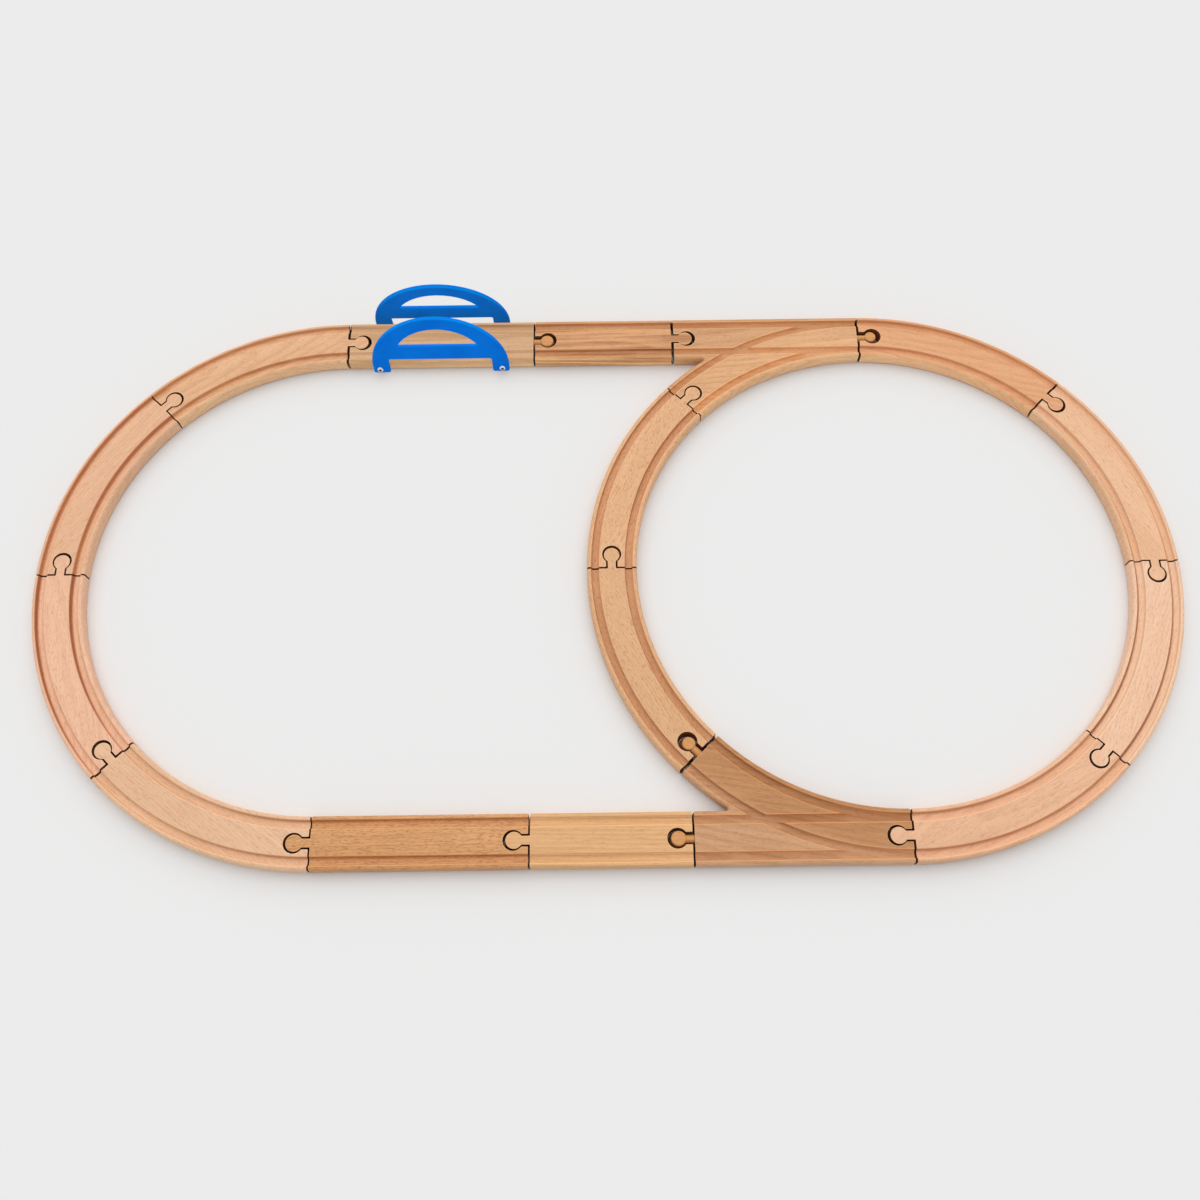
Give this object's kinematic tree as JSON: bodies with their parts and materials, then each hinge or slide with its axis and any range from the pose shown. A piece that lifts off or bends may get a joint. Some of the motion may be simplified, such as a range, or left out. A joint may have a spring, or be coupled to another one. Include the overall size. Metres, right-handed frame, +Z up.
{
  "type": "wooden train track set",
  "caption": "Toy railway laid as a long loop that closes into a circle: grooved beech straights, curves and switches with knob-and-socket joints, and a bridge with blue side panels.",
  "frame": {"origin": "middle of the footprint, on the floor", "axes": "+X along the straight rows towards the full circle, +Y across them towards the bridge, +Z up"},
  "size_m": [0.9196, 0.4822, 0.069],
  "materials": {
    "tan_beech": "sanded beech, clear matt lacquer",
    "brown_beech": "sanded darker beech, clear matt lacquer",
    "pale_beech": "sanded pale beech, clear matt lacquer",
    "red_beech": "sanded steamed beech, clear matt lacquer",
    "peg_wood": "turned hardwood",
    "blue_plastic": "moulded blue plastic, satin gloss",
    "screw_steel": "plated steel"
  },
  "bodies": {
    "near_switch": {"near_switch": "brown_beech", "near_switch_peg": "peg_wood", "near_switch_branch_peg": "peg_wood"},
    "far_switch": {"far_switch": "brown_beech", "far_switch_peg": "peg_wood"},
    "bridge": {"bridge_track": "pale_beech", "bridge_peg": "peg_wood", "near_bridge_panel": "blue_plastic", "far_bridge_panel": "blue_plastic", "near_panel_screw_left": "screw_steel", "near_panel_screw_right": "screw_steel", "far_panel_screw_left": "screw_steel", "far_panel_screw_right": "screw_steel"},
    "far_short_straight": {"far_short_straight": "red_beech"},
    "near_short_straight": {"near_short_straight": "pale_beech"},
    "near_long_straight": {"near_long_straight": "brown_beech"},
    "left_curve_1": {"left_curve_1": "tan_beech"},
    "left_curve_2": {"left_curve_2": "tan_beech"},
    "left_curve_3": {"left_curve_3": "tan_beech"},
    "left_curve_4": {"left_curve_4": "tan_beech"},
    "right_curve_1": {"right_curve_1": "tan_beech"},
    "right_curve_2": {"right_curve_2": "tan_beech"},
    "right_curve_3": {"right_curve_3": "tan_beech"},
    "right_curve_4": {"right_curve_4": "tan_beech"},
    "inner_curve_1": {"inner_curve_1": "tan_beech"},
    "inner_curve_2": {"inner_curve_2": "tan_beech"}
  },
  "joints": [
    {"name": "far_switch_lift", "type": "slide", "parent": "near_switch", "child": "far_switch", "axis": [0, 0, 1], "range_m": [0, 0.03]},
    {"name": "bridge_lift", "type": "slide", "parent": "near_switch", "child": "bridge", "axis": [0, 0, 1], "range_m": [0, 0.03]},
    {"name": "far_short_straight_lift", "type": "slide", "parent": "near_switch", "child": "far_short_straight", "axis": [0, 0, 1], "range_m": [0, 0.03]},
    {"name": "near_short_straight_lift", "type": "slide", "parent": "near_switch", "child": "near_short_straight", "axis": [0, 0, 1], "range_m": [0, 0.03]},
    {"name": "near_long_straight_lift", "type": "slide", "parent": "near_switch", "child": "near_long_straight", "axis": [0, 0, 1], "range_m": [0, 0.03]},
    {"name": "left_curve_1_lift", "type": "slide", "parent": "near_switch", "child": "left_curve_1", "axis": [0, 0, 1], "range_m": [0, 0.03]},
    {"name": "left_curve_2_lift", "type": "slide", "parent": "near_switch", "child": "left_curve_2", "axis": [0, 0, 1], "range_m": [0, 0.03]},
    {"name": "left_curve_3_lift", "type": "slide", "parent": "near_switch", "child": "left_curve_3", "axis": [0, 0, 1], "range_m": [0, 0.03]},
    {"name": "left_curve_4_lift", "type": "slide", "parent": "near_switch", "child": "left_curve_4", "axis": [0, 0, 1], "range_m": [0, 0.03]},
    {"name": "right_curve_1_lift", "type": "slide", "parent": "near_switch", "child": "right_curve_1", "axis": [0, 0, 1], "range_m": [0, 0.03]},
    {"name": "right_curve_2_lift", "type": "slide", "parent": "near_switch", "child": "right_curve_2", "axis": [0, 0, 1], "range_m": [0, 0.03]},
    {"name": "right_curve_3_lift", "type": "slide", "parent": "near_switch", "child": "right_curve_3", "axis": [0, 0, 1], "range_m": [0, 0.03]},
    {"name": "right_curve_4_lift", "type": "slide", "parent": "near_switch", "child": "right_curve_4", "axis": [0, 0, 1], "range_m": [0, 0.03]},
    {"name": "inner_curve_1_lift", "type": "slide", "parent": "near_switch", "child": "inner_curve_1", "axis": [0, 0, 1], "range_m": [0, 0.03]},
    {"name": "inner_curve_2_lift", "type": "slide", "parent": "near_switch", "child": "inner_curve_2", "axis": [0, 0, 1], "range_m": [0, 0.03]}
  ]
}
